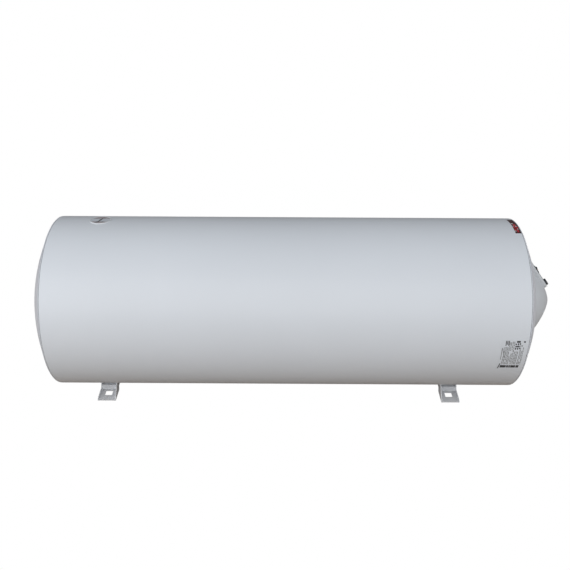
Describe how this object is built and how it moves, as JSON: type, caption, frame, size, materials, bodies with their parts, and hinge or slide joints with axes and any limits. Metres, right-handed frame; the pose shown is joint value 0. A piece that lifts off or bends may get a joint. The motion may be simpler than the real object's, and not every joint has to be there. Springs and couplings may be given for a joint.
{
  "type": "tank water heater",
  "caption": "Long horizontal wall-hung electric water heater: white steel cylinder with domed ends, round electrical cover with slanted control panel, dial thermometer and two wall brackets.",
  "frame": {"origin": "middle of the base: centre of the overall box in X and Y, on the plane of the bracket feet", "axes": "+X along the tank to the electrical end, +Z from the mounting surface to the front, -Y up when hung on a wall (the water pipes point along +Y, down)"},
  "size_m": [1.5336, 0.5336, 0.5237],
  "materials": {
    "casing_steel": "stove-enamelled white sheet, glossy",
    "bracket_steel": "grey painted pressed steel",
    "white_plastic": "moulded, light texture",
    "dark_plastic": "moulded, fine grain",
    "zinc_steel": "zinc plated",
    "enamelled_steel": "glass enamel on steel",
    "foam": "rigid polyurethane foam",
    "gasket_rubber": "moulded rubber",
    "copper": "copper sheath, nickel washed",
    "brass": "turned brass",
    "magnesium": "cast magnesium, dull",
    "blue_plastic": "blue collar for cold water",
    "red_plastic": "red moulding",
    "amber_lens": "amber lamp lens",
    "dial_face": "pale printed dial",
    "black_paint": "matt black",
    "clear_lens": "clear dial cover",
    "brown_wire": "wire insulation",
    "blue_wire": "wire insulation",
    "label_film": "printed film with plain marks",
    "badge_film": "plain red badge"
  },
  "bodies": {
    "heater": {"brand_badge": "badge_film", "cable_gland": "white_plastic", "cold_inlet_pipe": "zinc_steel", "cold_inlet_sleeve": "blue_plastic", "cover_screw_1": "zinc_steel", "cover_screw_2": "zinc_steel", "cover_stay": "zinc_steel", "earth_stud": "brass", "electrical_cover": "white_plastic", "element_wire": "blue_wire", "flange_bolt_1": "zinc_steel", "flange_bolt_2": "zinc_steel", "flange_bolt_3": "zinc_steel", "flange_bolt_4": "zinc_steel", "flange_bolt_5": "zinc_steel", "flange_collar": "zinc_steel", "flange_gasket": "gasket_rubber", "flange_plate": "zinc_steel", "foam_insulation": "foam", "heating_element_1": "copper", "heating_element_2": "copper", "hot_outlet_pipe": "zinc_steel", "hot_outlet_sleeve": "red_plastic", "inlet_diffuser": "white_plastic", "inner_tank_shell": "enamelled_steel", "left_bracket_bolt_lower": "zinc_steel", "left_bracket_bolt_upper": "zinc_steel", "left_end_cap": "casing_steel", "left_tank_head": "enamelled_steel", "left_wall_bracket": "bracket_steel", "line_wire": "brown_wire", "magnesium_anode": "magnesium", "outer_casing": "casing_steel", "pilot_lamp": "amber_lens", "rating_label": "label_film", "right_bracket_bolt_lower": "zinc_steel", "right_bracket_bolt_upper": "zinc_steel", "right_end_cap": "casing_steel", "right_tank_head": "enamelled_steel", "right_wall_bracket": "bracket_steel", "sensing_bulb": "copper", "switch_frame": "dark_plastic", "terminal_block": "white_plastic", "thermal_cutout": "dark_plastic", "thermometer_dial": "dial_face", "thermometer_housing": "white_plastic", "thermometer_lens": "clear_lens", "thermometer_probe": "copper", "thermostat_capillary": "copper", "thermostat_pocket": "zinc_steel", "thermostat_regulator": "dark_plastic"},
    "thermostat_knob": {"thermostat_knob": "dark_plastic", "knob_shaft": "brass"},
    "rocker": {"rocker_switch": "white_plastic"},
    "needle": {"thermometer_needle": "black_paint"},
    "reset": {"reset_button": "red_plastic"}
  },
  "joints": [
    {"name": "knob_turn", "type": "hinge", "parent": "heater", "child": "thermostat_knob", "pos_m": [0.74585, -0.0197, 0.34083], "axis": [0.7944, 0, 0.6074], "range_deg": [-135, 135]},
    {"name": "rocker_tilt", "type": "hinge", "parent": "heater", "child": "rocker", "pos_m": [0.71202, -0.0217, 0.38508], "axis": [0, -1, 0], "range_deg": [0, 20]},
    {"name": "needle_turn", "type": "hinge", "parent": "heater", "child": "needle", "pos_m": [-0.57005, 0.02231, 0.51792], "axis": [0, 0.1426, 0.9898], "range_deg": [-120, 120]},
    {"name": "reset_press", "type": "slide", "parent": "heater", "child": "reset", "axis": [1, 0, 0], "range_m": [-0.003, 0], "stiffness_N_per_m": 300}
  ]
}
